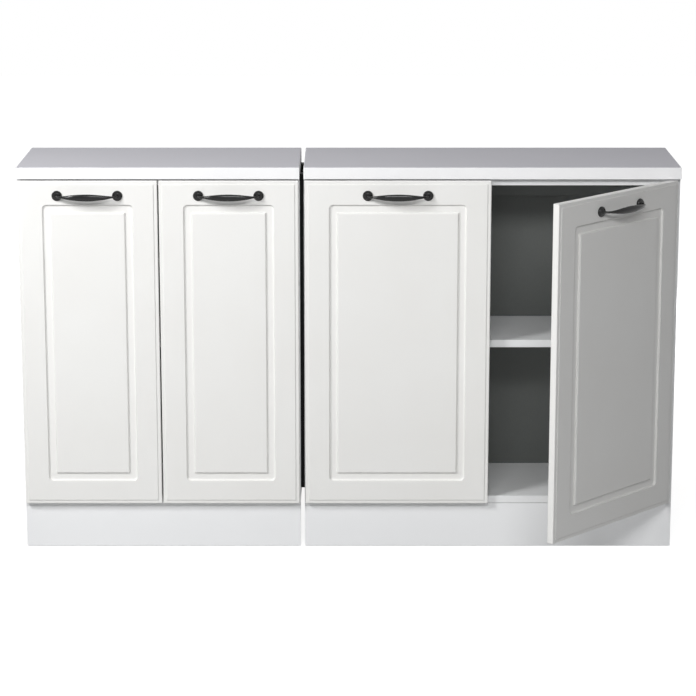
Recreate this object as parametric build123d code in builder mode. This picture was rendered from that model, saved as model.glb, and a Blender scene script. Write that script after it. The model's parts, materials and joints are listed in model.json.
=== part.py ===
from build123d import *
from math import atan2, copysign, cos, exp, pi, radians, sin
import os

# Two shallow kitchen base units side by side, 600 and 800 wide, with four routed doors.
# Millimetres. X runs along the fronts to the right, Y back to the wall, Z up. The origin is on the
# floor, at the middle of the box round the pair with its rightmost door standing open.

# the units
unit_widths = {"left": 600, "right": 800}
unit_gap = 9
carcass_depth = 252
carcass_height = 720
leg_height = 100
board = 16
back_thickness = 3
side_depth = carcass_depth - back_thickness
worktop_thickness = 25
worktop_depth = 270
worktop_radius = 2
rail_width = 80
shelf_depth = 230
shelf_height = 446
shelf_clearance = 1
shelf_setback = 16

# the doors
door_thickness = 16
door_gap = 2
door_height = 713
door_reveal = 2
door_spacing = 3
open_angle = 45.6
border_width = 8
border_step = 1.2
edge_radius = 1.8
groove_inset = 52
groove_width = 17
groove_depth = 4.5
groove_corner = 9
cove_radius = 3.5
bead_radius = 3

# the swing of a door, seen from above: u runs inboard from the side panel's outer face and v runs
# forward from the carcass front
swing_u = 8.5
swing_v = 19
hinge_inset = 100

# the concealed hinges
cup_radius = 17.5
cup_depth = 11.5
cup_edge = 4.5
cup_wall = 0.9
cup_ear_spacing = 48
cup_ear_offset = 6
link_pivot = (46, -1.7)
link_end = (13.4, 5.2)
link_bend = ((37, -2.5), (28.5, 3), (20, 6))
link_ratio = -0.405
link_thickness = 2.6
link_half_width = 5
pin_radius = 1.4
pin_clearance = 0.05
knuckle_radius = 2.4
plate_row = 37
plate_thickness = 2.9
arm_length = 78
system_pitch = 32

# the bow handles
handle_centres = 128
handle_drop = 32
handle_reach = 27
rosette_radius = 11
grip_foot = 3
grip_squareness = 2.6
grip_rings = 13
neck_radius = 2.3
lens_half_span = 55
lens_swell = (5.2, 1.5)
neck_flare = 1.9
flare_height = 5

# the legs and the plinth
plinth_height = 97
plinth_lift = 2
leg_front = 46
leg_back = 202
leg_inset = 60
tube_radius = 15
tube_bore = 11
foot_radius = 25

# the bolts between the units
connector_rows = (60, 189)
connector_heights = (320, 620)
filler_depth = 24
filler_foot = 120

# where things stand
pair_width = sum(unit_widths.values()) + unit_gap
carcass_top = leg_height + carcass_height
top_height = carcass_top + worktop_thickness
door_widths = {
    side: (width - 2 * door_reveal - door_spacing) / 2 for side, width in unit_widths.items()
}
far_u = door_reveal + door_widths["right"] - swing_u
far_v = door_gap + door_thickness - swing_v
open_reach = swing_v + far_u * sin(radians(open_angle)) + far_v * cos(radians(open_angle))
front = (open_reach - carcass_depth) / 2
unit_left = {"left": -pair_width / 2, "right": pair_width / 2 - unit_widths["right"]}
door_middle = carcass_top - (carcass_height - door_height) / 2 - door_height / 2
hinge_heights = [door_middle + s * (door_height / 2 - hinge_inset) for s in (-1, 1)]

os.makedirs("parts", exist_ok=True)


def save(piece, name):
    """Label a finished piece and write its file."""
    piece.part.label = name
    export_step(piece.part, f"parts/{name}.step")


def slab(x, y, z, wide, deep, high):
    """A board with its lowest corner at x, y, z, added to the piece being built."""
    with Locations((x, y, z)):
        Box(wide, deep, high, align=(Align.MIN, Align.MIN, Align.MIN))


def drill(points, direction, radius, depth):
    """Round holes that run from each point along direction."""
    for point in points:
        with BuildSketch(Plane(origin=point, z_dir=direction)) as mouth:
            Circle(radius)
        extrude(mouth.sketch, amount=depth, mode=Mode.SUBTRACT)


def swung(plane, pivot, angle):
    """The plane turned by angle about the upright line through pivot, a point (u, v) of the plane."""
    a = radians(angle)
    u, v = pivot
    corner = (u - u * cos(a) + v * sin(a), v - u * sin(a) - v * cos(a), 0)
    return Plane(
        origin=plane.from_local_coords(corner),
        x_dir=plane.x_dir * cos(a) + plane.y_dir * sin(a),
        z_dir=plane.z_dir,
    )


def make_carcass(side):
    """The boards of one unit, its shelf, its worktop and its plinth."""
    x = unit_left[side]
    width = unit_widths[side]
    inner = width - 2 * board
    back = front + carcass_depth
    rear_rail = front + side_depth - board
    pin_row = [shelf_height - 2.5 + k * system_pitch for k in (-1, 0, 1)]
    pin_columns = (front + plate_row, front + side_depth - plate_row)
    screw_points = [
        (front + 50, leg_height + board / 2),
        (front + side_depth - 50, leg_height + board / 2),
        (front + rail_width / 2, carcass_top - board / 2),
        (rear_rail + board / 2, carcass_top - rail_width / 2),
    ]

    for name, outer, inward in (("side_left", x, 1), ("side_right", x + width, -1)):
        inner_face = outer + inward * board
        with BuildPart() as panel:
            slab(min(outer, inner_face), front, leg_height, board, side_depth, carcass_height)
            drill([(inner_face, y, z) for y in pin_columns for z in pin_row], (-inward, 0, 0), 2.5, 10)
            drill([(outer, y, z) for y, z in screw_points], (inward, 0, 0), 2.5, board)
            drill([(outer, y, z) for y, z in screw_points], (inward, 0, 0), 5, 3)
            if (side, name) in (("left", "side_right"), ("right", "side_left")):
                joined = [(outer, front + y, z) for y in connector_rows for z in connector_heights]
                drill(joined, (inward, 0, 0), 2.5, board)
        save(panel, f"{side}_{name}")

    ends = [(x + board, (1, 0, 0)), (x + width - board, (-1, 0, 0))]
    with BuildPart() as bottom:
        slab(x + board, front, leg_height, inner, side_depth, board)
        for end, direction in ends:
            drill([(end, y, z) for y, z in screw_points[:2]], direction, 2.5, 35)
    save(bottom, f"{side}_bottom_panel")

    with BuildPart() as front_rail:
        slab(x + board, front, carcass_top - board, inner, rail_width, board)
        for end, direction in ends:
            drill([(end, *screw_points[2])], direction, 2.5, 35)
    save(front_rail, f"{side}_front_rail")

    wall_holes = [(x + width / 2 + s * (width / 2 - 100), rear_rail, carcass_top - 40) for s in (-1, 1)]
    with BuildPart() as rear:
        slab(x + board, rear_rail, carcass_top - rail_width, inner, board, rail_width)
        for end, direction in ends:
            drill([(end, *screw_points[3])], direction, 2.5, 35)
        drill(wall_holes, (0, 1, 0), 4, board)
    save(rear, f"{side}_rear_rail")

    with BuildPart() as back_panel:
        slab(x + 1, back - back_thickness, leg_height + 1, width - 2, back_thickness, carcass_height - 2)
        drill(wall_holes, (0, 1, 0), 4, board + back_thickness)
    save(back_panel, f"{side}_back_panel")

    with BuildPart() as shelf:
        slab(
            x + board + shelf_clearance,
            front + shelf_setback,
            shelf_height,
            inner - 2 * shelf_clearance,
            shelf_depth,
            board,
        )
    save(shelf, f"{side}_shelf")

    with BuildPart() as pins:
        for face, inward in ((x + board, 1), (x + width - board, -1)):
            for y in pin_columns:
                seat = Plane(origin=(face - inward * 9, y, shelf_height - 2.5), z_dir=(inward, 0, 0))
                with BuildSketch(seat) as shank:
                    Circle(2.45)
                extrude(shank.sketch, amount=9 + 7)
                with BuildSketch(seat.offset(9)) as collar:
                    Circle(4)
                extrude(collar.sketch, amount=0.9)
        split(bisect_by=Plane.XY.offset(shelf_height), keep=Keep.BOTTOM)
    save(pins, f"{side}_shelf_pins")

    with BuildPart() as screws:
        for outer, inward in ((x, 1), (x + width, -1)):
            for y, z in screw_points:
                seat = Plane(origin=(outer, y, z), z_dir=(inward, 0, 0))
                with BuildSketch(seat.offset(0.2)) as head:
                    Circle(4.9)
                extrude(head.sketch, amount=2.8)
                with BuildSketch(seat.offset(3)) as shank:
                    Circle(2.45)
                extrude(shank.sketch, amount=45)
    save(screws, f"{side}_carcass_screws")

    with BuildPart() as worktop:
        slab(x, back - worktop_depth, carcass_top, width, worktop_depth, worktop_thickness)
        fillet(worktop.faces().sort_by(Axis.Z)[-1].edges(), worktop_radius)
    save(worktop, f"{side}_worktop")

    with BuildPart() as plinth:
        slab(x, front, plinth_lift, width, board, plinth_height)
    save(plinth, f"{side}_plinth")


def make_legs(side):
    """Four sockets screwed under the bottom panel, their feet, and the clips that hold the plinth."""
    x = unit_left[side]
    width = unit_widths[side]
    columns = (x + leg_inset, x + width - leg_inset)
    places = [(c, front + row) for c in columns for row in (leg_front, leg_back)]
    with BuildPart() as sockets:
        for cx, cy in places:
            with BuildSketch(Plane.XY.offset(leg_height - 4)) as flange:
                with Locations((cx, cy)):
                    RectangleRounded(56, 56, 14)
            extrude(flange.sketch, amount=4)
            with BuildSketch(Plane.XY.offset(38)) as tube:
                with Locations((cx, cy)):
                    Circle(tube_radius)
            extrude(tube.sketch, amount=leg_height - 4 - 38)
            for turn in (45, 135):
                rib_plane = Plane(origin=(cx, cy, 0), x_dir=(cos(radians(turn)), sin(radians(turn)), 0),
                                  z_dir=(-sin(radians(turn)), cos(radians(turn)), 0))
                with BuildSketch(rib_plane) as rib:
                    with BuildLine():
                        Polyline((-28, -96), (28, -96), (14, -84), (-14, -84), close=True)
                    make_face()
                extrude(rib.sketch, amount=1.2, both=True)
            with BuildSketch(Plane.XY.offset(38)) as bore:
                with Locations((cx, cy)):
                    Circle(tube_bore)
            extrude(bore.sketch, amount=50, mode=Mode.SUBTRACT)
    save(sockets, f"{side}_leg_sockets")

    with BuildPart() as feet:
        for cx, cy in places:
            with BuildSketch(Plane(origin=(cx, cy, 0), x_dir=(1, 0, 0), z_dir=(0, -1, 0))) as half:
                with BuildLine():
                    Polyline((0, 0), (foot_radius, 0), (foot_radius, 4), (13, 10), (13, 20), (18, 20), (18, 34))
                    Line((18, 34), (tube_bore - 0.1, 34))
                    Line((tube_bore - 0.1, 34), (tube_bore - 0.1, 80))
                    Line((tube_bore - 0.1, 80), (0, 80))
                    Line((0, 80), (0, 0))
                make_face()
            revolve(half.sketch, Axis((cx, cy, 0), (0, 0, 1)))
    save(feet, f"{side}_leg_feet")

    with BuildPart() as clips:
        for cx in columns:
            cy = front + leg_front
            with BuildSketch(Plane.XY.offset(56)) as ring:
                with Locations((cx, cy)):
                    Circle(tube_radius + 2.5)
                    Circle(tube_radius + 0.1, mode=Mode.SUBTRACT)
                    with Locations((0, 12)):
                        Rectangle(22, 20, mode=Mode.SUBTRACT)
            extrude(ring.sketch, amount=18)
            slab(cx - 4, front + board + 2, 56, 8, leg_front - board - tube_radius - 4, 18)
            slab(cx - 22, front + board, 48, 44, 2.5, 34)
    save(clips, f"{side}_plinth_clips")


def make_door(number, side, hinge_side):
    """One routed door with its handle, hinges and bumpers; hinge_side is -1 at its left, 1 at its right."""
    width = door_widths[side]
    outer = unit_left[side] if hinge_side < 0 else unit_left[side] + unit_widths[side]
    open_now = open_angle if number == 4 else 0
    plan = Plane(origin=(outer, front, 0), x_dir=(-hinge_side, 0, 0), z_dir=(0, 0, hinge_side))
    leaf = swung(plan, (swing_u, swing_v), open_now)

    def leaf_face(v):
        """The upright plane at depth v of the leaf: across the door, up, and out of its face."""
        middle = leaf.from_local_coords((door_reveal + width / 2, v, hinge_side * door_middle))
        return Plane(origin=middle, x_dir=leaf.x_dir * -hinge_side, z_dir=leaf.y_dir)

    back_face = leaf_face(door_gap)
    front_face = leaf_face(door_gap + door_thickness)
    hinge_x = hinge_side * width / 2
    cup_x = hinge_x - hinge_side * (cup_edge + cup_radius)
    cup_spots = [(cup_x, z - door_middle) for z in hinge_heights]
    name = f"door_{number}"

    with BuildPart() as panel:
        with BuildSketch(back_face) as outline:
            Rectangle(width, door_height)
        extrude(outline.sketch, amount=door_thickness - border_step)
        rim = panel.faces().sort_by(Axis(front_face.origin, front_face.z_dir))[-1].edges()
        fillet(rim, edge_radius)
        with BuildSketch(front_face.offset(-border_step)) as field:
            Rectangle(width - 2 * border_width, door_height - 2 * border_width)
        extrude(field.sketch, amount=border_step)
        with BuildSketch(front_face) as groove:
            RectangleRounded(width - 2 * groove_inset, door_height - 2 * groove_inset, groove_corner)
            inner = groove_inset + groove_width
            Rectangle(width - 2 * inner, door_height - 2 * inner, mode=Mode.SUBTRACT)
        extrude(groove.sketch, amount=-groove_depth, mode=Mode.SUBTRACT)
        outwards = Axis(front_face.origin, front_face.z_dir)
        floor = panel.faces(Select.LAST).sort_by(outwards)[0]
        fillet(floor.outer_wire().edges(), cove_radius)
        centre_panel = [f for f in panel.faces().sort_by(outwards)[-2:] if not f.inner_wires()][0]
        fillet(centre_panel.edges(), bead_radius)
        with BuildSketch(back_face) as pockets:
            with Locations(*cup_spots):
                Circle(cup_radius)
        extrude(pockets.sketch, amount=cup_depth, mode=Mode.SUBTRACT)
        with BuildSketch(front_face) as bolt_holes:
            with Locations(*[(s * handle_centres / 2, door_height / 2 - handle_drop) for s in (-1, 1)]):
                Circle(2.25)
        extrude(bolt_holes.sketch, amount=-door_thickness, mode=Mode.SUBTRACT)
    save(panel, f"{name}_panel")

    with BuildPart() as cups:
        for cx, cy in cup_spots:
            centre = Plane(origin=back_face.from_local_coords((cx, cy, 0)), x_dir=back_face.x_dir,
                           z_dir=back_face.z_dir)
            with BuildSketch(centre.offset(-1)) as flange:
                Circle(cup_radius + 1.5)
                ears = [(-hinge_side * cup_ear_offset, s * cup_ear_spacing / 2) for s in (-1, 1)]
                with Locations(*ears):
                    Circle(5.5)
                make_hull()
            extrude(flange.sketch, amount=1)
            with BuildSketch(centre) as bowl:
                Circle(cup_radius - 0.05)
            extrude(bowl.sketch, amount=cup_depth - 0.1)
            with BuildSketch(centre.offset(-1)) as hollow:
                Circle(cup_radius - 0.05 - cup_wall)
            extrude(hollow.sketch, amount=cup_depth - 0.1 - cup_wall + 1, mode=Mode.SUBTRACT)
            with BuildSketch(centre.offset(-1)) as ear_holes:
                with Locations(*ears):
                    Circle(2.1)
            extrude(ear_holes.sketch, amount=1, mode=Mode.SUBTRACT)
    save(cups, f"{name}_hinge_cups")

    with BuildPart() as bumpers:
        with BuildSketch(back_face.offset(-1.8)) as pads:
            spots = [(-hinge_x + hinge_side * 12, s * (door_height / 2 - 6)) for s in (-1, 1)]
            with Locations(*spots):
                Circle(4)
        extrude(pads.sketch, amount=1.8)
    save(bumpers, f"{name}_bumpers")

    make_handle(name, front_face)
    make_hinges(name, plan, open_now)


def make_handle(name, face):
    """A bow handle: two domed rosettes, and a grip that leaves each outwards and swells to a lens.

    Its middle line is half of a squared ellipse, and its section is an ellipse whose half height is the
    neck's, plus the lens's swell, plus a flare that dies away above the rosette."""
    seat = Plane(origin=face.from_local_coords((0, door_height / 2 - handle_drop, 0)), x_dir=face.x_dir,
                 z_dir=face.z_dir)
    half = handle_centres / 2
    rise = handle_reach - grip_foot
    with BuildPart() as handle:
        for s in (-1, 1):
            foot = Plane(origin=seat.from_local_coords((s * half, 0, 0)), x_dir=seat.x_dir, z_dir=-seat.y_dir)
            with BuildSketch(foot) as dome:
                with BuildLine():
                    Line((0, 0), (rosette_radius, 0))
                    Line((rosette_radius, 0), (rosette_radius, 1.5))
                    ThreePointArc((rosette_radius, 1.5), (8.6, 4.6), (4.4, 6.4))
                    Line((4.4, 6.4), (0, 6.4))
                    Line((0, 6.4), (0, 0))
                make_face()
            revolve(dome.sketch, Axis(foot.origin, seat.z_dir))
        rings = []
        for k in range(grip_rings):
            turn = pi * k / (grip_rings - 1)
            x = copysign(abs(cos(turn)) ** (2 / grip_squareness), cos(turn))
            z = sin(turn) ** (2 / grip_squareness)
            lean = atan2(z ** (grip_squareness - 1) / rise, abs(x) ** (grip_squareness - 1) / half)
            along = seat.x_dir * -copysign(sin(lean), x) + seat.z_dir * cos(lean)
            lens = max(0, 1 - (x * half / lens_half_span) ** 2) ** 1.2
            flare = neck_flare * exp(-((z * rise / flare_height) ** 2))
            middle = seat.from_local_coords((x * half, 0, grip_foot + z * rise))
            with BuildSketch(Plane(origin=middle, x_dir=seat.y_dir, z_dir=along)) as ring:
                Ellipse(neck_radius + flare + lens_swell[0] * lens, neck_radius + flare + lens_swell[1] * lens)
            rings.append(ring.sketch)
        loft(rings, ruled=True)
    save(handle, f"{name}_handle")


def make_hinges(name, plan, open_now):
    """Two concealed hinges: plates and arms on the side panel, and links that reach into the cups."""
    link_plan = swung(plan, link_pivot, open_now * link_ratio)
    levels = [abs(z) * plan.z_dir.Z for z in hinge_heights]
    pu, pv = link_pivot

    with BuildPart() as links:
        for z in levels:
            with BuildSketch(link_plan.offset(z)) as cheek:
                with BuildLine():
                    Spline(link_pivot, *link_bend, link_end)
                trace(line_width=link_thickness)
                with Locations(link_pivot):
                    Circle(knuckle_radius)
                with Locations(link_end):
                    Circle(knuckle_radius - 0.5)
                with Locations(link_pivot):
                    Circle(pin_radius + pin_clearance, mode=Mode.SUBTRACT)
            extrude(cheek.sketch, amount=link_half_width, both=True)
    save(links, f"{name}_hinge_links")

    foot = board + plate_thickness
    with BuildPart() as arms:
        for z in levels:
            with BuildSketch(plan.offset(z)) as arm:
                with BuildLine():
                    Polyline(
                        (foot, -arm_length), (foot, -26), (pu - 8, -7), (pu - 2.4, pv + 2.1),
                        (pu + 2.4, pv + 2.1), (pu + 3, -6), (foot + 14, -22), (foot + 14, -arm_length),
                        close=True,
                    )
                make_face()
                corners = arm.vertices().sort_by(Axis(plan.origin, plan.y_dir))
                fillet(corners[2:6], 3)
                fillet(arm.vertices().sort_by(Axis(plan.origin, plan.y_dir))[-2:], 1.2)
            extrude(arm.sketch, amount=link_half_width + 2.5, both=True)
            with BuildSketch(plan.offset(z)) as slot:
                with Locations((pu - 5, -2)):
                    Rectangle(20, 8)
            extrude(slot.sketch, amount=link_half_width + 0.6, both=True, mode=Mode.SUBTRACT)
            with BuildSketch(plan.offset(z)) as pin:
                with Locations(link_pivot):
                    Circle(pin_radius)
            extrude(pin.sketch, amount=link_half_width + 2.5, both=True)
    save(arms, f"{name}_hinge_arms")

    with BuildPart() as plates:
        for z in levels:
            with BuildSketch(Plane(origin=plan.from_local_coords((board, -plate_row, z)), x_dir=plan.y_dir,
                                   z_dir=plan.x_dir)) as base:
                RectangleRounded(14, system_pitch + 16, 5)
                with Locations((-14, 0)):
                    Rectangle(54, 15)
            extrude(base.sketch, amount=plate_thickness)
    save(plates, f"{name}_hinge_plates")


def make_connectors():
    """Four bolts that join the two carcasses, and the two black filler strips that they pass through."""
    face = unit_left["left"] + unit_widths["left"] - board
    places = [(front + y, z) for y in connector_rows for z in connector_heights]
    with BuildPart() as bolts:
        for y, z in places:
            seat = Plane(origin=(face, y, z), z_dir=(1, 0, 0))
            with BuildSketch(seat) as shank:
                Circle(2.45)
            extrude(shank.sketch, amount=2 * board + unit_gap)
            with BuildSketch(seat) as head:
                Circle(7)
            extrude(head.sketch, amount=-2)
            with BuildSketch(seat.offset(2 * board + unit_gap)) as nut:
                Circle(7)
            extrude(nut.sketch, amount=2)
    save(bolts, "unit_connectors")

    with BuildPart() as fillers:
        for y in connector_rows:
            slab(face + board, front + y - filler_depth / 2, filler_foot, unit_gap, filler_depth,
                 carcass_top - filler_foot)
            drill([(face + board, front + y, z) for z in connector_heights], (1, 0, 0), 2.55, unit_gap)
    save(fillers, "unit_spacers")


for unit in unit_widths:
    make_carcass(unit)
    make_legs(unit)

make_connectors()
make_door(1, "left", -1)
make_door(2, "left", 1)
make_door(3, "right", -1)
make_door(4, "right", 1)
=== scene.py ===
"""Dresses a pair of low white kitchen base units with four routed doors, one of them standing open.

Lengths are metres. Those of the furniture are written as millimetres times MM, and those of the studio as
they are. X runs along the fronts to the right, Y back to the wall and Z up, as in the frame."""
import json
import math

import bpy
import numpy as np
from mathutils import Matrix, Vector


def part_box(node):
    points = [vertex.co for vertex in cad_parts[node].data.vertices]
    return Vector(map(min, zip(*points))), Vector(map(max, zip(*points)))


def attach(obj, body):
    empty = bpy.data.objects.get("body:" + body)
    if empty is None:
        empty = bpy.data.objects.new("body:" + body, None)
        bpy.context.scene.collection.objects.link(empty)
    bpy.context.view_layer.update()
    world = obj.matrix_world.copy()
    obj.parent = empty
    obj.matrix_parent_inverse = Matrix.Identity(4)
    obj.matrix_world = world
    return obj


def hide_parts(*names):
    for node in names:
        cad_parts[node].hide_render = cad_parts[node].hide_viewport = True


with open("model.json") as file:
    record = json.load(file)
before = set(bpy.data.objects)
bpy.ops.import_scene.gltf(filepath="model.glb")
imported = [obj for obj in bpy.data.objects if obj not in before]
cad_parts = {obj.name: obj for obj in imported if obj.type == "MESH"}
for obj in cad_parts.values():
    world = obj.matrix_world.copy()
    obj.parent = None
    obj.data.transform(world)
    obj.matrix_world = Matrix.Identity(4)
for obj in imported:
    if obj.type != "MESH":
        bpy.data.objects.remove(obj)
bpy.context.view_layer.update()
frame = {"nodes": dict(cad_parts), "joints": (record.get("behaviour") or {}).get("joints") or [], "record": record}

MM = 0.001
UP = np.array([0.0, 0.0, 1.0])
UNITS = ("left", "right")
DOORS = (1, 2, 3, 4)
JOINTS = {joint["name"]: joint for joint in frame["joints"]}

# for each door, one of the same size that is closed at rest
CLOSED_TWIN = {1: 1, 2: 2, 3: 3, 4: 3}

# what is fixed to the doors, from their own edges and faces
DOOR_THICKNESS = 16 * MM
HINGE_INSET = 100 * MM
CUP_INSET = 22 * MM
CUP_RADIUS = 17.5 * MM
BEAD_OFFSET = 0.1 * MM
BEAD_HALF_WIDTH = 0.7 * MM
BEAD_HEIGHT = 0.45 * MM
EAR_OFFSET = 6 * MM
EAR_SPREAD = 24 * MM
EAR_THICKNESS = 1 * MM
BUMPER_INSETS = (12 * MM, 6 * MM)
BUMPER_RADIUS = 4 * MM
BUMPER_HEIGHT = 1.8 * MM

# the hinge ironmongery on the side boards
PLATE_ROW = 37 * MM
PLATE_SCREWS = 16 * MM
ARM_HEIGHT = 14 * MM
ARM_SCREWS = (36 * MM, 62 * MM)
ARM_HALF_WIDTH = 7.5 * MM
RIVET_RADIUS = 1.9 * MM
RIVET_HEIGHT = 0.7 * MM

# the handles: each dome ends at an angle of ROSETTE_TOP from its axis, and the lens and the flare are
# what the grip has beyond its neck's radius
HANDLE_CENTRES = 128 * MM
HANDLE_DROP = 32 * MM
ROSETTE_RADIUS = 11 * MM
ROSETTE_DOME = 5.2 * MM
ROSETTE_EDGE = 1.3 * MM
ROSETTE_TOP = 0.36
RING_RADIUS = 7.9 * MM
RING_WIDTH = 0.75 * MM
RING_HEIGHT = 0.55 * MM
GRIP_REACH = 27 * MM
GRIP_START = 3 * MM
GRIP_SQUARENESS = 2.6
NECK_RADIUS = 2.3 * MM
LENS_HALF_SPAN = 55 * MM
LENS_HALF_HEIGHT = 5.2 * MM
LENS_HALF_DEPTH = 1.5 * MM
LENS_POWER = 1.2
FLARE_WIDTH = 1.9 * MM
FLARE_REACH = 5 * MM

# the radius and height of each kind of pan head
CUP_SCREW = (3.7 * MM, 1.5 * MM)
PLATE_SCREW = (3.9 * MM, 1.9 * MM)
ARM_SCREW = (3.4 * MM, 1.3 * MM)
HANDLE_BOLT = (4.2 * MM, 2 * MM)
WORKTOP_SCREW = (4.2 * MM, 2 * MM)

# the carcasses and the feet
CARCASS_SCREW_INSET = 50 * MM
WORKTOP_SCREW_INSET = 60 * MM
CONNECTOR_RADIUS = 7 * MM
NAIL_INSET = 8 * MM
NAIL_SPACING = 110 * MM
SEAL_INSET = 7 * MM
SEAL_HALF_DEPTH = 3 * MM
SEAL_END_GAP = 1 * MM
FOOT_RADIUS = 25 * MM
RIB_COUNT = 22
RIB_HEIGHT = 0.6 * MM

# degrees between two faces, above which the edge between them stays sharp
CREASE = 32

# most of a noise's values lie between these two
NOISE_SPAN = {"From Min": 0.3, "From Max": 0.7}

# a surface points along an axis, or lies level, where that much of its normal goes that way
POINTS_ALONG = 0.9
LIES_LEVEL = 0.8


def corners_of(node):
    """The lowest and the highest corner of a CAD node, as arrays."""
    low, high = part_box(node)
    return np.array(low), np.array(high)


def seat(origin, out):
    """A place to build at: a point, then three directions at right angles, the third along out and the
    first level."""
    out = np.asarray(out, float) / np.linalg.norm(out)
    across = (1, 0, 0) if abs(out[2]) > 0.99 else np.cross(UP, out)
    across = np.asarray(across, float) / np.linalg.norm(across)
    return np.array([np.asarray(origin, float), across, np.cross(out, across), out])


def at(place, *coords):
    """Points whose coordinates along the three directions of a seat are given as arrays of one shape."""
    local = np.stack(np.broadcast_arrays(*coords), -1)
    return place[0] + local @ place[1:]


def round_trip(steps):
    """Evenly spaced angles of one full turn, without the last, which would repeat the first."""
    return np.linspace(0, 2 * math.pi, steps, endpoint=False)


def skin(points, ring=False):
    """The skin over a grid of points, rows by columns, whose columns run all the way round.
    Quads join each point to the next in its row and in its column. Where ring is true the last row joins
    the first, and else each end row is closed by a fan to its middle. The sum of the small volumes under
    the faces is the volume inside, and if it is negative the faces are turned round to point outwards."""
    rows, columns = points.shape[:2]
    count = rows * columns
    top = np.arange(rows if ring else rows - 1)[:, None] * columns
    here = np.arange(columns)
    after = (here + 1) % columns
    below = (top + columns) % count
    quads = np.stack([top + here, top + after, below + after, below + here], -1).reshape(-1, 4)
    corners = points.reshape(-1, 3)
    fans = np.zeros((0, 3), int)
    if not ring:
        corners = np.vstack([corners, points[0].mean(0), points[-1].mean(0)])
        last = count - columns
        fans = np.vstack([
            np.stack([after, here, np.full(columns, count)], -1),
            np.stack([last + here, last + after, np.full(columns, count + 1)], -1),
        ])
    triangles = np.vstack([quads[:, [0, 1, 2]], quads[:, [0, 2, 3]], fans])
    a, b, c = (corners[triangles[:, k]] - corners.mean(0) for k in range(3))
    if np.einsum("ij,ij", a, np.cross(b, c)) < 0:
        quads, fans = quads[:, ::-1], fans[:, ::-1]
    return corners, quads, fans


def turned(place, radius, height, around):
    """A turned shape: radius over height, carried round the third direction of a seat.
    The point at angle t is radius cos t along the first direction and radius sin t along the second.
    Radius and height may also be given for every angle, as rows by angles."""
    turn = round_trip(around)
    radius, height = (np.asarray(v, float) for v in (radius, height))
    radius = radius[:, None] if radius.ndim == 1 else radius
    height = height[:, None] if height.ndim == 1 else height
    return skin(at(place, radius * np.cos(turn), radius * np.sin(turn), height + 0 * turn))


def piece(name, skins, body, slot, finish=None, stands_for=()):
    """One object made of several skins, in its slot's finish unless another is named. It is shaded smooth,
    and sharp at its creases. Its place is in its mesh, and it moves with its body."""
    starts = np.cumsum([0] + [len(corners) for corners, _, _ in skins])
    faces = []
    for start, (_, quads, fans) in zip(starts, skins):
        faces += (quads + start).tolist() + (fans + start).tolist()
    mesh = bpy.data.meshes.new(name)
    mesh.from_pydata(np.vstack([corners for corners, _, _ in skins]).tolist(), [], faces)
    mesh.shade_smooth()
    mesh.set_sharp_from_angle(angle=math.radians(CREASE))
    mesh.materials.append(FINISHES[finish or slot])
    made = bpy.data.objects.new(name, mesh)
    bpy.context.scene.collection.objects.link(made)
    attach(made, body)
    if stands_for:
        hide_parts(*stands_for)


def door_seat(number):
    """The lower corner of a door's face at its hinged edge, with the directions across, up and outwards,
    and the door's width and height. The hinge line's distances from that edge and face are those of a
    closed door, and the door stands open by what its joint can still close."""
    joint = JOINTS[f"door_{number}_hinge"]
    pivot = np.array(joint["pos_m"], float)
    sense = joint["axis"][2]
    twin = CLOSED_TWIN[number]
    twin_joint = JOINTS[f"door_{twin}_hinge"]
    low, high = corners_of(f"door_{twin}_panel")
    hinged_left = twin_joint["axis"][2] < 0
    edge_gap = abs(twin_joint["pos_m"][0] - (low[0] if hinged_left else high[0]))
    face_gap = low[1] - twin_joint["pos_m"][1]
    turn = math.radians(-joint["range_deg"][0]) * sense
    across = -sense * np.array([math.cos(turn), math.sin(turn), 0.0])
    out = np.array([math.sin(turn), -math.cos(turn), 0.0])
    corner = pivot - edge_gap * across - face_gap * out
    corner[2] = low[2]
    return np.array([corner, across, UP, out]), high[0] - low[0], high[2] - low[2]


# finishes: of a Mix node's inputs, 0 is the share, 2 and 3 are the numbers and 6 and 7 the colours it mixes


def colour(code):
    """An sRGB hex colour as linear red, green and blue, with full opacity."""
    levels = np.array([int(code[k : k + 2], 16) for k in (1, 3, 5)]) / 255
    linear = np.where(levels <= 0.04045, levels / 12.92, ((levels + 0.055) / 1.055) ** 2.4)
    return (*linear.tolist(), 1.0)


def start(tree):
    """Empties a node tree, and gives the function that adds a node to it with its settings and links."""
    tree.nodes.clear()

    def add(kind, inputs=(), **settings):
        """Adds one node, sets it up, links or sets its inputs, and gives its outputs."""
        made = tree.nodes.new("ShaderNode" + kind)
        for key, value in settings.items():
            setattr(made, key, value)
        for key, value in dict(inputs).items():
            if isinstance(value, bpy.types.NodeSocket):
                tree.links.new(value, made.inputs[key])
            else:
                made.inputs[key].default_value = value
        return made.outputs

    return add


def start_finish(name):
    """A new finish with an empty tree, its node adder, and where the surface is, in metres."""
    made = bpy.data.materials.new(name)
    made.use_nodes = True
    add = start(made.node_tree)
    return made, add, add("TexCoord")["Object"]


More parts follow.
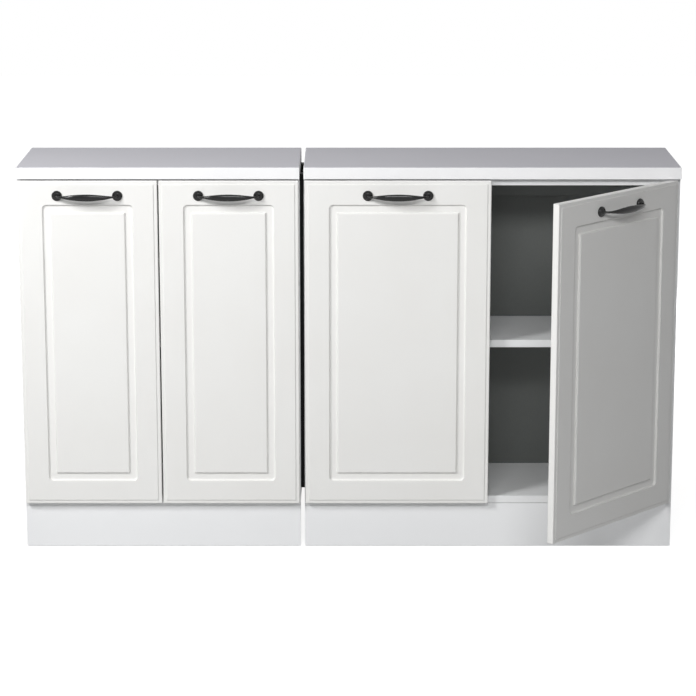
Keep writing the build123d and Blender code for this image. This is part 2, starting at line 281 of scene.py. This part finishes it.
def wrapped_foil():
    """Fronts: fibreboard routed and wrapped in matt white PVC foil under vacuum. It gives a warm white
    with a soft satin sheen, the faint orange peel, 3 mm across, of foil drawn over a board, and edges
    rounded to 2 mm."""
    finish, add, where = start_finish("pvc_foil_over_fibreboard")
    peel = add("TexNoise", {"Vector": where, "Scale": 1 / (3 * MM), "Detail": 2.0, "Roughness": 0.45})[0]
    drift = add("TexNoise", {"Vector": where, "Scale": 1 / (160 * MM), "Detail": 1.0})[0]
    softened = add("Bevel", {"Radius": 2 * MM}, samples=8)[0]
    relief = add("Bump", {"Height": peel, "Strength": 0.7, "Distance": 0.035 * MM, "Normal": softened})[0]
    tone = add("Mix", {0: drift, 6: colour("#F1F0ED"), 7: colour("#F6F6F4")}, data_type="RGBA")[2]
    rough = add("MapRange", {"Value": peel, **NOISE_SPAN, "To Min": 0.36, "To Max": 0.46})[0]
    shader = add("BsdfPrincipled", {"Base Color": tone, "Roughness": rough, "IOR": 1.5, "Normal": relief})
    add("OutputMaterial", {"Surface": shader[0]})
    return finish


def chips(add, where):
    """The colour and height of cut particle board: flakes of pale and brown wood, 1 to 3 mm across, with
    darker dust between them."""
    flakes = add("TexVoronoi", {"Vector": where, "Scale": 1 / (2.2 * MM), "Randomness": 1.0})
    shade = add("SeparateColor", {"Color": flakes[1]})[0]
    dust = add("TexNoise", {"Vector": where, "Scale": 1 / (0.9 * MM), "Detail": 3.0, "Roughness": 0.6})[0]
    wood = add("Mix", {0: shade, 6: colour("#8A6B48"), 7: colour("#D2B68C")}, data_type="RGBA")[2]
    dusty = add("MapRange", {"Value": dust, **NOISE_SPAN, "To Min": 0.0, "To Max": 0.5})[0]
    tone = add("Mix", {0: dusty, 6: wood, 7: colour("#5E4730")}, data_type="RGBA")[2]
    return tone, add("Math", {0: shade, 1: dust}, operation="ADD")[0]


def melamine(name, pale, dark, roughness, raw_end=None, side_white_with_shaded_tops=None):
    """Carcass boards, plinths, rear rails and worktops: particle board faced with melamine paper, pressed
    with a pearl grain. It gives an even tone that drifts between dark and pale, a low sheen whose
    roughness varies a little with the grain, and pimples 0.7 mm across, drawn as 1.1 mm to show. Where
    raw_end gives a sense, an axis and a level, the faces that point that way beyond that level were sawn
    and have no edge band, and show the chips. Where a side white is given, all but the level faces have
    it, and the level faces keep the darker tone between dark and pale, which is painted shade on the top."""
    finish, add, where = start_finish(name)
    pearl = add("TexNoise", {"Vector": where, "Scale": 1 / (1.1 * MM), "Detail": 1.0, "Roughness": 0.4})[0]
    drift = add("TexNoise", {"Vector": where, "Scale": 1 / (220 * MM), "Detail": 1.0})[0]
    tone = add("Mix", {0: drift, 6: colour(dark), 7: colour(pale)}, data_type="RGBA")[2]
    # with a side white given, the level faces keep the darker tone as painted shade on the top, and the rest take
    # the white
    if side_white_with_shaded_tops:
        upward = add("SeparateXYZ", {0: add("NewGeometry")["Normal"]})[2]
        up_or_down = add("Math", {0: upward}, operation="ABSOLUTE")[0]
        flat = add("Math", {0: up_or_down, 1: LIES_LEVEL}, operation="GREATER_THAN")[0]
        tone = add("Mix", {0: flat, 6: colour(side_white_with_shaded_tops), 7: tone}, data_type="RGBA")[2]
    spread = {"Value": pearl, **NOISE_SPAN, "To Min": roughness - 0.05, "To Max": roughness + 0.06}
    rough = add("MapRange", spread)[0]
    height = pearl
    if raw_end:
        sense, axis, level = raw_end
        past = "LESS_THAN" if sense < 0 else "GREATER_THAN"
        normal = add("SeparateXYZ", {0: add("NewGeometry")["Normal"]})[axis]
        spot = add("SeparateXYZ", {0: where})[axis]
        faces_there = add("Math", {0: normal, 1: sense * POINTS_ALONG}, operation=past)[0]
        beyond = add("Math", {0: spot, 1: level}, operation=past)[0]
        raw = add("Math", {0: faces_there, 1: beyond}, operation="MULTIPLY")[0]
        wood, flake_height = chips(add, where)
        tone = add("Mix", {0: raw, 6: tone, 7: wood}, data_type="RGBA")[2]
        rough = add("Mix", {0: raw, 2: rough, 3: 0.85})[0]
        height = add("Mix", {0: raw, 2: pearl, 3: flake_height})[0]
    eased = add("Bevel", {"Radius": 0.8 * MM}, samples=6)[0]
    relief = add("Bump", {"Height": height, "Strength": 0.7, "Distance": 0.03 * MM, "Normal": eased})[0]
    shader = add("BsdfPrincipled", {"Base Color": tone, "Roughness": rough, "IOR": 1.5, "Normal": relief})
    add("OutputMaterial", {"Surface": shader[0]})
    return finish


def grey_and_brown_hardboard(rear_level):
    """Back panels: 3 mm hardboard, dark grey on the room side and bare brown fibre on the wall side. It
    gives a flat grey with faint fibres, and a brown felted back with darker clouds."""
    finish, add, where = start_finish("grey_and_brown_hardboard")
    laid = add("Mapping", {"Vector": where, "Scale": (1.0, 1.0, 0.35)})[0]
    fibres = add("TexNoise", {"Vector": laid, "Scale": 1 / (1.6 * MM), "Detail": 3.0, "Roughness": 0.6})[0]
    clouds = add("TexNoise", {"Vector": where, "Scale": 1 / (90 * MM), "Detail": 2.0})[0]
    # the room side is simply a flat dark grey with faint fibres
    grey_room_side = add("Mix", {0: fibres, 6: colour("#5C5F5D"), 7: colour("#676A68")}, data_type="RGBA")[2]
    fleck = add("MapRange", {"Value": fibres, **NOISE_SPAN, "To Min": 0.0, "To Max": 1.0})[0]
    felt = add("Mix", {0: fleck, 6: colour("#84633F"), 7: colour("#A5825A")}, data_type="RGBA")[2]
    cloudy = add("MapRange", {"Value": clouds, **NOISE_SPAN, "To Min": 0.0, "To Max": 0.35})[0]
    bare_side = add("Mix", {0: cloudy, 6: felt, 7: colour("#6B4C30")}, data_type="RGBA")[2]
    facing = add("SeparateXYZ", {0: add("NewGeometry")["Normal"]})[1]
    spot = add("SeparateXYZ", {0: where})[1]
    faces_wall = add("Math", {0: facing, 1: POINTS_ALONG}, operation="GREATER_THAN")[0]
    at_back = add("Math", {0: spot, 1: rear_level - 0.5 * MM}, operation="GREATER_THAN")[0]
    bare = add("Math", {0: faces_wall, 1: at_back}, operation="MULTIPLY")[0]
    grey_room_side_rough = add("MapRange", {"Value": fibres, **NOISE_SPAN, "To Min": 0.5, "To Max": 0.6})[0]
    shader = add("BsdfPrincipled", {
        "Base Color": add("Mix", {0: bare, 6: grey_room_side, 7: bare_side}, data_type="RGBA")[2],
        "Roughness": add("Mix", {0: bare, 2: grey_room_side_rough, 3: 0.8})[0],
        "Normal": add("Bump", {"Height": fibres, "Strength": 0.6, "Distance": 0.03 * MM})[0],
    })
    add("OutputMaterial", {"Surface": shader[0]})
    return finish


def black_casting():
    """Handles: zinc casting under satin black powder coat, baked. It gives near black with soft grey
    highlights, a fine pebbled skin 0.8 mm across, and a little less black where hands rub the grip."""
    finish, add, where = start_finish("powder_coated_zinc")
    pebbles = add("TexNoise", {"Vector": where, "Scale": 1 / (0.8 * MM), "Detail": 2.0})[0]
    wear = add("TexNoise", {"Vector": where, "Scale": 1 / (14 * MM), "Detail": 3.0, "Roughness": 0.6})[0]
    rubbed = add("MapRange", {"Value": wear, **NOISE_SPAN, "To Min": 0.0, "To Max": 1.0})[0]
    tone = add("Mix", {0: rubbed, 6: colour("#060606"), 7: colour("#0E0E0F")}, data_type="RGBA")[2]
    shader = add("BsdfPrincipled", {
        "Base Color": tone,
        "Roughness": add("MapRange", {"Value": wear, **NOISE_SPAN, "To Min": 0.12, "To Max": 0.22})[0],
        "Specular IOR Level": 0.34,
        "Normal": add("Bump", {"Height": pebbles, "Strength": 0.6, "Distance": 0.012 * MM})[0],
    })
    add("OutputMaterial", {"Surface": shader[0]})
    return finish


def plated_steel(name, pale, dark, smoothest, roughest, stretch):
    """Pressed or headed steel with a bright plating. It gives a clean metal with a soft reflection, fine
    draw marks along the stretched direction, and cloudy patches where the plating varies."""
    finish, add, where = start_finish(name)
    drawn = add("Mapping", {"Vector": where, "Scale": stretch})[0]
    marks = add("TexNoise", {"Vector": drawn, "Scale": 1 / (0.5 * MM), "Detail": 3.0, "Roughness": 0.6})[0]
    clouds = add("TexNoise", {"Vector": where, "Scale": 1 / (9 * MM), "Detail": 2.0})[0]
    spread = {"Value": marks, **NOISE_SPAN, "To Min": smoothest, "To Max": roughest}
    shader = add("BsdfPrincipled", {
        "Base Color": add("Mix", {0: clouds, 6: colour(dark), 7: colour(pale)}, data_type="RGBA")[2],
        "Metallic": 1.0,
        "Roughness": add("MapRange", spread)[0],
        "Normal": add("Bump", {"Height": marks, "Strength": 0.5, "Distance": 0.01 * MM})[0],
    })
    add("OutputMaterial", {"Surface": shader[0]})
    return finish


def black_polypropylene_and_gap_shade():
    """Legs, clips and filler strips: black polypropylene, injection moulded in a spark-eroded tool. It
    gives a dull black with a sandy texture, 0.6 mm across, and slight grey blush. On the filler strips in
    the gap between the units the black is painted shade, standing for the shadow in that gap."""
    finish, add, where = start_finish("moulded_polypropylene_and_gap_shade")
    sand = add("TexNoise", {"Vector": where, "Scale": 1 / (0.6 * MM), "Detail": 2.0, "Roughness": 0.6})[0]
    blush = add("TexNoise", {"Vector": where, "Scale": 1 / (30 * MM), "Detail": 2.0})[0]
    # on the filler strips between the units this same black is painted shade for the dark gap
    tone = add("Mix", {0: blush, 6: colour("#0E0E0F"), 7: colour("#1A1A1B")}, data_type="RGBA")[2]
    shader = add("BsdfPrincipled", {
        "Base Color": tone,
        "Roughness": add("MapRange", {"Value": sand, **NOISE_SPAN, "To Min": 0.5, "To Max": 0.62})[0],
        "Specular IOR Level": 0.3,
        "Normal": add("Bump", {"Height": sand, "Strength": 0.7, "Distance": 0.03 * MM})[0],
    })
    add("OutputMaterial", {"Surface": shader[0]})
    return finish


def clear_polyurethane():
    """Bumpers: poured clear polyurethane domes. They give a bright rim and a slightly cloudy body."""
    finish, add, where = start_finish("poured_polyurethane")
    haze = add("TexNoise", {"Vector": where, "Scale": 1 / (2 * MM), "Detail": 2.0})[0]
    tone = add("Mix", {0: haze, 6: colour("#E6E7E2"), 7: colour("#F4F4F0")}, data_type="RGBA")[2]
    shader = add("BsdfPrincipled", {
        "Base Color": tone,
        "Roughness": add("MapRange", {"Value": haze, **NOISE_SPAN, "To Min": 0.08, "To Max": 0.2})[0],
        "IOR": 1.49,
        "Transmission Weight": 0.7,
    })
    add("OutputMaterial", {"Surface": shader[0]})
    return finish


def soft_pvc():
    """Plinth seals: grey soft PVC lip, extruded. It gives a dull grey with faint draw lines."""
    finish, add, where = start_finish("extruded_soft_pvc")
    drawn = add("Mapping", {"Vector": where, "Scale": (0.02, 1.0, 1.0)})[0]
    lines = add("TexNoise", {"Vector": drawn, "Scale": 1 / (0.4 * MM), "Detail": 1.0})[0]
    tone = add("Mix", {0: lines, 6: colour("#A9ABAC"), 7: colour("#BDBFC0")}, data_type="RGBA")[2]
    rough = add("MapRange", {"Value": lines, **NOISE_SPAN, "To Min": 0.42, "To Max": 0.55})[0]
    shader = add("BsdfPrincipled", {"Base Color": tone, "Roughness": rough, "IOR": 1.54})
    add("OutputMaterial", {"Surface": shader[0]})
    return finish


SIDE_FOOT = corners_of("left_side_left")[0][2]
WORKTOP_REAR = corners_of("left_worktop")[1][1]
BACK_REAR = corners_of("left_back_panel")[1][1]
WHITE = ("#F5F6F6", "#EFF0F1")
FINISHES = {
    "door_foil": wrapped_foil(),
    "carcass_white": melamine("melamine_board", *WHITE, 0.44),
    "side_board": melamine("melamine_board_sawn_foot", *WHITE, 0.44, raw_end=(-1, 2, SIDE_FOOT + MM)),
    "rear_rail": melamine("dark_melamine_rail", "#696C6A", "#606361", 0.5),
    # the worktop's level faces are a darker copy of the white on its sides: painted shade on the top
    "worktop_laminate": melamine("laminate_worktop", "#E6E5EB", "#E1E0E6", 0.78,
                                 raw_end=(1, 1, WORKTOP_REAR - MM), side_white_with_shaded_tops="#FBFBFC"),
    "plinth_white": melamine("melamine_plinth", "#FAFBFC", "#F6F7F8", 0.4),
    "back_board": grey_and_brown_hardboard(BACK_REAR),
    "handle_black": black_casting(),
    "hinge_steel": plated_steel("nickel_plated_steel", "#D2CFC8", "#BEBBB4", 0.24, 0.36, (1.0, 0.12, 1.0)),
    "screw_steel": plated_steel("zinc_plated_steel", "#C9CBCD", "#B4B7BA", 0.28, 0.4, (1.0, 1.0, 0.3)),
    # this finish also covers the filler strips between the units, whose black is painted shade in that gap
    "leg_plastic": black_polypropylene_and_gap_shade(),
    "bumper_clear": clear_polyurethane(),
    "plinth_seal": soft_pvc(),
}


# pieces


def bow_handle(number, place, width, height):
    """A bow handle: two domed rosettes, and a grip that leaves each outwards and swells to a lens.
    A rosette is an ellipse turned about its height, on a short straight edge, with a ring bead whose
    height falls off as a bell curve. The grip's middle line is half a squared ellipse, with x and z to the
    power GRIP_SQUARENESS adding up to one. Its section is an ellipse: its half height is the neck's plus
    the lens's, a parabola in x to the power LENS_POWER, plus a flare that dies away above the rosette."""
    middle = at(place, width / 2, height - HANDLE_DROP, 0)
    base = np.array([middle, *place[1:]])
    skins = []
    slope = np.linspace(math.pi / 2, ROSETTE_TOP, 26)
    radius = ROSETTE_RADIUS * np.sin(slope)
    bead = RING_HEIGHT * np.exp(-(((radius - RING_RADIUS) / RING_WIDTH) ** 2))
    dome = ROSETTE_EDGE + ROSETTE_DOME * np.cos(slope) + bead
    radius = np.concatenate([[ROSETTE_RADIUS, ROSETTE_RADIUS], radius])
    dome = np.concatenate([[0, ROSETTE_EDGE * 0.8], dome])
    for side in (-1, 1):
        foot = np.array([at(base, side * HANDLE_CENTRES / 2, 0, 0), *place[1:]])
        skins.append(turned(foot, radius, dome, around=64))

    sweep = np.linspace(0, math.pi, 121)
    power = 2 / GRIP_SQUARENESS
    x = HANDLE_CENTRES / 2 * np.sign(np.cos(sweep)) * np.abs(np.cos(sweep)) ** power
    z = GRIP_START + (GRIP_REACH - GRIP_START) * np.sin(sweep).clip(0) ** power
    run = np.hypot(np.gradient(x), np.gradient(z))
    along_x, along_z = np.gradient(x) / run, np.gradient(z) / run
    lens = (1 - (x / LENS_HALF_SPAN) ** 2).clip(0) ** LENS_POWER
    flare = np.exp(-(((z - GRIP_START) / FLARE_REACH) ** 2))
    half_height = NECK_RADIUS + LENS_HALF_HEIGHT * lens + FLARE_WIDTH * flare
    half_depth = NECK_RADIUS + LENS_HALF_DEPTH * lens + FLARE_WIDTH * flare
    turn = round_trip(40)
    across = half_depth[:, None] * np.cos(turn)
    skins.append(skin(at(base, x[:, None] - along_z[:, None] * across, half_height[:, None] * np.sin(turn),
                         z[:, None] + along_x[:, None] * across)))
    piece(f"door_{number}_bow_handle", skins, f"door_{number}", "handle_black",
          stands_for=[f"door_{number}_handle"])


def cross_slot(x, y):
    """How deep a cross recess is at a point of a screw head of radius 1: two bars at right angles, each
    0.33 wide and 1.2 long at half depth, with sides that slope a little."""
    def bar(across, along):
        return ((0.2 - abs(across)) / 0.07).clip(0, 1) * ((0.66 - abs(along)) / 0.12).clip(0, 1)

    return np.maximum(bar(x, y), bar(y, x))


def hex_socket(x, y):
    """How deep a six-sided socket is at a point of a screw head of radius 1: full depth inside a hexagon
    0.38 from its middle to each flat, and none outside one of 0.43."""
    turn = np.arctan2(y, x)
    to_flat = np.hypot(x, y) * np.cos(np.mod(turn, math.pi / 3) - math.pi / 6)
    return ((0.43 - to_flat) / 0.05).clip(0, 1)


def screw(place, outline, crown, recess, depth):
    """A screw: its outline from the tip up to the rim of its head, as radius and height pairs, then the
    head's face, a grid of rings and spokes. The face's height falls from the crown in the middle as the
    square of the radius, less the recess for the driver."""
    rings, spokes = 11, 36
    radii, heights = (np.array(v, float) for v in zip(*outline))
    rim, top = radii[-1], heights[-1]
    share = np.linspace(1, 0.05, rings + 1)[1:, None]
    turn = round_trip(spokes)
    face = top + crown * (1 - share**2) - depth * recess(share * np.cos(turn), share * np.sin(turn))
    ones = np.ones(spokes)
    radius = np.vstack([radii[:, None] * ones, rim * share * ones])
    height = np.vstack([heights[:, None] * ones, face])
    return turned(place, radius, height, around=spokes)


def pan_head(place, radius, high):
    """A pan-head screw's visible part: straight sides, a rounded shoulder, a low crown, a cross recess."""
    outline = [(radius, 0), (radius, high * 0.45), (radius * 0.94, high * 0.72), (radius * 0.82, high * 0.85)]
    return screw(place, outline, crown=high * 0.15, recess=cross_slot, depth=high * 0.7)


def door_fittings(number, place, width, height):
    """What is fixed to the inside of a door: two screws and a pressed bead on each hinge cup, the two
    bolts that hold the handle, and two poured bumpers. A bead is a flat oval carried round its cup. From
    the rim of a bumper to its middle, a share that goes from 0 to 1, the radius falls by 0.9 of the share
    to the power 2.6 and the height rises as the share to the power 0.55, which makes a flattened dome."""
    body = f"door_{number}"
    inward = -place[3]
    ear_face = -DOOR_THICKNESS - EAR_THICKNESS
    section = round_trip(12)[:, None]
    round_cup = round_trip(72)
    heads, beads = [], []
    for level in (HINGE_INSET, height - HINGE_INSET):
        for side in (-1, 1):
            spot = at(place, CUP_INSET + EAR_OFFSET, level + side * EAR_SPREAD, ear_face)
            heads.append(pan_head(seat(spot, inward), *CUP_SCREW))
        centre = seat(at(place, CUP_INSET, level, ear_face), inward)
        reach = CUP_RADIUS + BEAD_OFFSET + BEAD_HALF_WIDTH * np.cos(section)
        beads.append(skin(at(centre, reach * np.cos(round_cup), reach * np.sin(round_cup),
                             BEAD_HEIGHT * np.sin(section) + 0 * round_cup), ring=True))
    piece(f"{body}_cup_screws", heads, body, "screw_steel")
    piece(f"{body}_cup_beads", beads, body, "hinge_steel")
    bolts = []
    for side in (-1, 1):
        spot = at(place, width / 2 + side * HANDLE_CENTRES / 2, height - HANDLE_DROP, -DOOR_THICKNESS)
        bolts.append(pan_head(seat(spot, inward), *HANDLE_BOLT))
    piece(f"{body}_handle_bolts", bolts, body, "screw_steel")
    share = np.linspace(0, 1, 12)
    radius, rise = BUMPER_RADIUS * (1 - 0.9 * share**2.6), BUMPER_HEIGHT * share**0.55
    domes = []
    for level in (BUMPER_INSETS[1], height - BUMPER_INSETS[1]):
        spot = seat(at(place, width - BUMPER_INSETS[0], level, -DOOR_THICKNESS), inward)
        domes.append(turned(spot, radius, rise, around=32))
    piece(f"{body}_bumper_domes", domes, body, "bumper_clear", stands_for=[f"{body}_bumpers"])


def hinge_fittings(number, foot, top):
    """What is fixed to the side board at each hinge of a door that reaches from foot to top: two screws
    in the plate, two adjusting screws in the arm, and the riveted ends of the pin that the link turns on.
    A rivet is half an ellipse turned about its height and cut off near its top."""
    plates_low, plates_high = corners_of(f"door_{number}_hinge_plates")
    joint = JOINTS[f"door_{number}_link_pivot"]
    inboard = -joint["axis"][2]
    face = plates_high[0] if inboard > 0 else plates_low[0]
    front = corners_of("left_side_left")[0][1]
    out = (inboard, 0, 0)
    share = np.linspace(0, 1, 8)
    radius, rise = RIVET_RADIUS * np.sqrt(1 - 0.97 * share**2), RIVET_HEIGHT * share
    heads, rivets = [], []
    for level in (foot + HINGE_INSET, top - HINGE_INSET):
        for side in (-1, 1):
            spot = (face, front + PLATE_ROW, level + side * PLATE_SCREWS)
            heads.append(pan_head(seat(spot, out), *PLATE_SCREW))
        for y in ARM_SCREWS:
            heads.append(pan_head(seat((face + inboard * ARM_HEIGHT, front + y, level), out), *ARM_SCREW))
        for side in (-1, 1):
            end = (joint["pos_m"][0], joint["pos_m"][1], level + side * ARM_HALF_WIDTH)
            rivets.append(turned(seat(end, (0, 0, side)), radius, rise, around=24))
    piece(f"door_{number}_plate_screws", heads, "cabinet", "screw_steel")
    piece(f"door_{number}_pin_rivets", rivets, "cabinet", "hinge_steel")


def carcass_screws(side):
    """The screws that hold the boards: a flat head with a six-sided socket just below the side board's
    face, and a plain shank into the board's end. They stand for the plain ones of the frame."""
    outline = [(1.2, -47), (2.4, -45), (2.4, -3), (4.85, -3), (4.85, -0.5), (4.6, -0.25)]
    outline = [(r * MM, h * MM) for r, h in outline]
    skins = []
    for board, insets in (("bottom_panel", (-1, 1)), ("front_rail", (0,)), ("rear_rail", (0,))):
        low, high = corners_of(f"{side}_{board}")
        for inset in insets:
            spot = (low + high) / 2
            spot[1] += inset * ((high[1] - low[1]) / 2 - CARCASS_SCREW_INSET)
            for end, sense in (("side_left", -1), ("side_right", 1)):
                side_low, side_high = corners_of(f"{side}_{end}")
                spot[0] = side_low[0] if sense < 0 else side_high[0]
                skins.append(screw(seat(spot, (sense, 0, 0)), outline, crown=0, recess=hex_socket,
                                   depth=2.2 * MM))
    piece(f"{side}_socket_screws", skins, "cabinet", "screw_steel", stands_for=[f"{side}_carcass_screws"])


def connector_bolts():
    """The bolts that join the two units: a low mushroom head with a six-sided socket on each side, the
    height falling as the square of the radius, and a sleeve between them."""
    low, high = corners_of("unit_connectors")
    rim = CONNECTOR_RADIUS
    reach = (high[0] - low[0]) / 2
    outline = [(2.4 * MM, -reach), (2.4 * MM, -2 * MM), (rim, -2 * MM), (6.8 * MM, -1 * MM)]
    skins = []
    for y in (low[1] + rim, high[1] - rim):
        for z in (low[2] + rim, high[2] - rim):
            for x, sense in ((low[0], -1), (high[0], 1)):
                skins.append(screw(seat((x, y, z), (sense, 0, 0)), outline, crown=1 * MM,
                                   recess=hex_socket, depth=1.6 * MM))
    piece("unit_connector_bolts", skins, "cabinet", "screw_steel", stands_for=["unit_connectors"])


def leg_feet(side):
    """The screwed feet: a dished base, a neck, a grip ring with finger ribs, and a threaded stem.
    Round the ring the radius goes in and out as a cosine of RIB_COUNT times the angle. Up the stem it goes
    in and out once in each pitch of height less the share of a turn, which makes the thread, and at its
    end it is narrower. The stem's lengths are millimetres until they join the others."""
    low, high = corners_of(f"{side}_leg_feet")
    around = 4 * RIB_COUNT
    turn = round_trip(around)
    base = np.array([(23, 0), (25, 1.2), (25, 3.2), (23.6, 4.4), (14.2, 9.4), (13, 11), (13, 19.6)]) * MM
    ring = np.array([(16.6, 20), (17.8, 21.4), (17.8, 32.6), (16.6, 34)]) * MM
    rise = np.linspace(34, 78, 67)
    stem, ridge, pitch = 10.3, 0.5, 4
    thread = stem + ridge * np.cos(2 * math.pi * (rise[:, None] / pitch - turn / (2 * math.pi)))
    radius = np.vstack([base[:, :1] + 0 * turn, ring[:, :1] + RIB_HEIGHT * np.cos(RIB_COUNT * turn),
                        thread * MM, [0 * turn + 8.5 * MM]])
    height = np.concatenate([base[:, 1], ring[:, 1], rise * MM, [80 * MM]])
    skins = []
    for x in (low[0] + FOOT_RADIUS, high[0] - FOOT_RADIUS):
        for y in (low[1] + FOOT_RADIUS, high[1] - FOOT_RADIUS):
            skins.append(turned(seat((x, y, 0), UP), radius, height, around))
    piece(f"{side}_screwed_feet", skins, "cabinet", "leg_plastic", stands_for=[f"{side}_leg_feet"])


def back_nails(side):
    """The flat-headed nails round the back panel, about NAIL_SPACING apart. A head is a disc 3.6 mm
    across, driven in until its face stands only 0.03 mm proud."""
    low, high = corners_of(f"{side}_back_panel")
    left, right = low[0] + NAIL_INSET, high[0] - NAIL_INSET
    bottom, top = low[2] + NAIL_INSET, high[2] - NAIL_INSET
    columns = np.linspace(left, right, 1 + round((right - left) / NAIL_SPACING))
    rows = np.linspace(bottom, top, 1 + round((top - bottom) / NAIL_SPACING))
    spots = [(x, z) for z in (bottom, top) for x in columns]
    spots += [(x, z) for x in (left, right) for z in rows[1:-1]]
    radius, height = np.array([(1.8, -0.3), (1.8, 0), (1.65, 0.03), (0.3, 0.03)]).T * MM
    skins = [turned(seat((x, high[1], z), (0, 1, 0)), radius, height, around=16) for x, z in spots]
    piece(f"{side}_back_nails", skins, "cabinet", "screw_steel")


def worktop_screws(side):
    """Four pan-head screws up through the flat front rail into the worktop."""
    low, high = corners_of(f"{side}_front_rail")
    skins = []
    for x in np.linspace(low[0] + WORKTOP_SCREW_INSET, high[0] - WORKTOP_SCREW_INSET, 4):
        skins.append(pan_head(seat((x, (low[1] + high[1]) / 2, low[2]), (0, 0, -1)), *WORKTOP_SCREW))
    piece(f"{side}_worktop_screws", skins, "cabinet", "screw_steel")


def plinth_seal(side):
    """The soft lip under a plinth: a flat oval section, 6 mm deep and as high as the gap under the plinth,
    carried along its foot. The section's points are a squared ellipse, with both cosine and sine to the
    power one half."""
    low, high = corners_of(f"{side}_plinth")
    turn = round_trip(28)
    deep, tall = (np.sign(wave) * np.abs(wave) ** 0.5 for wave in (np.cos(turn), np.sin(turn)))
    x = np.array([low[0] + SEAL_END_GAP, high[0] - SEAL_END_GAP])[:, None]
    y = low[1] + SEAL_INSET + SEAL_HALF_DEPTH * deep
    z = low[2] / 2 + low[2] / 2 * tall
    points = np.stack(np.broadcast_arrays(x, y, z), -1)
    piece(f"{side}_plinth_seal", [skin(points)], "cabinet", "plinth_white", finish="plinth_seal")


# put together

for part in frame["record"]["subparts"]:
    name, chosen = part["node"], part["material_slot"]
    if "_side_" in name:
        chosen = "side_board"
    elif "rear_rail" in name:
        chosen = "rear_rail"
    for holder in frame["nodes"][name].material_slots:
        holder.material = FINISHES[chosen]

for number in DOORS:
    door, door_width, door_height = door_seat(number)
    bow_handle(number, door, door_width, door_height)
    door_fittings(number, door, door_width, door_height)
    hinge_fittings(number, door[0][2], door[0][2] + door_height)

for side in UNITS:
    carcass_screws(side)
    leg_feet(side)
    back_nails(side)
    worktop_screws(side)
    plinth_seal(side)
connector_bolts()


# the studio


def seen_directly(add):
    """1 for a ray from the camera or one that a shiny or clear surface sends on, and 0 for any other."""
    path = add("LightPath")
    either = add("Math", {0: path["Is Camera Ray"], 1: path["Is Glossy Ray"]}, operation="MAXIMUM")[0]
    return add("Math", {0: either, 1: path["Is Transmission Ray"]}, operation="MAXIMUM")[0]


def studio_floor(half):
    """A pale matt floor. Seen straight, or in metal, it carries some light of its own, more of it from
    0.9 m to 2 m away from the middle, so that it meets the white behind it and still keeps the shadow. On
    the units it only bounces the lamps' light."""
    mesh = bpy.data.meshes.new("studio_floor")
    corners = [(-half, -half, 0), (half, -half, 0), (half, half, 0), (-half, half, 0)]
    mesh.from_pydata(corners, [], [(0, 1, 2, 3)])
    made = bpy.data.objects.new("studio_floor", mesh)
    bpy.context.scene.collection.objects.link(made)
    finish, add, where = start_finish("pale_studio_floor")
    seen = seen_directly(add)
    blotches = add("TexNoise", {"Vector": where, "Scale": 1 / 0.4, "Detail": 2.0})[0]
    tone = add("Mix", {0: blotches, 6: colour("#B2B2B2"), 7: colour("#B6B6B6")}, data_type="RGBA")[2]
    matt = add("BsdfDiffuse", {"Color": tone})[0]
    away = add("VectorMath", {0: where}, operation="LENGTH")["Value"]
    fade = {"Value": away, "From Min": 0.9, "From Max": 2.0, "To Min": 0.86, "To Max": 1.05}
    glow = add("Emission", {"Color": colour("#FFFFFF"), "Strength": add("MapRange", fade)[0]})[0]
    lit = add("AddShader", {0: matt, 1: glow})[0]
    add("OutputMaterial", {"Surface": add("MixShader", {0: seen, 1: matt, 2: lit})[0]})
    mesh.materials.append(finish)


def white_surround(level):
    """A white surround that lights the units only at the given level."""
    world = bpy.data.worlds.new("white_surround")
    bpy.context.scene.world = world
    world.use_nodes = True
    add = start(world.node_tree)
    dim = add("Background", {"Color": colour("#F4F6FA"), "Strength": level})[0]
    bright = add("Background", {"Color": colour("#FFFFFF"), "Strength": 1.0})[0]
    add("OutputWorld", {"Surface": add("MixShader", {0: seen_directly(add), 1: dim, 2: bright})[0]})


def softbox(name, spot, aim, wide, high, power):
    """A flat rectangular lamp at spot that faces aim, in metres and watts."""
    lamp = bpy.data.lights.new(name, "AREA")
    lamp.shape = "RECTANGLE"
    lamp.size = wide
    lamp.size_y = high
    lamp.energy = power
    made = bpy.data.objects.new(name, lamp)
    bpy.context.scene.collection.objects.link(made)
    made.location = spot
    away = np.array(spot, float) - np.array(aim, float)
    _, across, up, out = seat(spot, away)
    made.rotation_mode = "QUATERNION"
    made.rotation_quaternion = Matrix(np.stack([across, up, out], 1).tolist()).to_quaternion()


def photographers_camera():
    """The camera, from a fit of 30 points of the object to the photograph, with a small shift."""
    camera = bpy.data.cameras.new("camera")
    camera.lens = 124.0
    camera.sensor_width = 36.0
    camera.shift_y = -0.1
    made = bpy.data.objects.new("camera", camera)
    bpy.context.scene.collection.objects.link(made)
    made.location = (-1.3 * MM, -4996 * MM, 1687 * MM)
    made.rotation_euler = (math.radians(90 - 12.204), 0, 0)
    bpy.context.scene.camera = made


studio_floor(half=8.0)
white_surround(level=0.09)
softbox("key_softbox", spot=(-1.8, -1.6, 2.0), aim=(-0.1, 0.0, 0.5), wide=0.7, high=0.7, power=46)
softbox("fill_softbox", spot=(0.15, -2.8, 2.2), aim=(-0.1, 0.0, 0.5), wide=1.8, high=0.45, power=43)
softbox("rear_softbox", spot=(1.5, 2.4, 0.42), aim=(0.1, 0.1, 0.42), wide=1.4, high=0.76, power=30)
photographers_camera()
bpy.context.scene.view_settings.view_transform = "Standard"
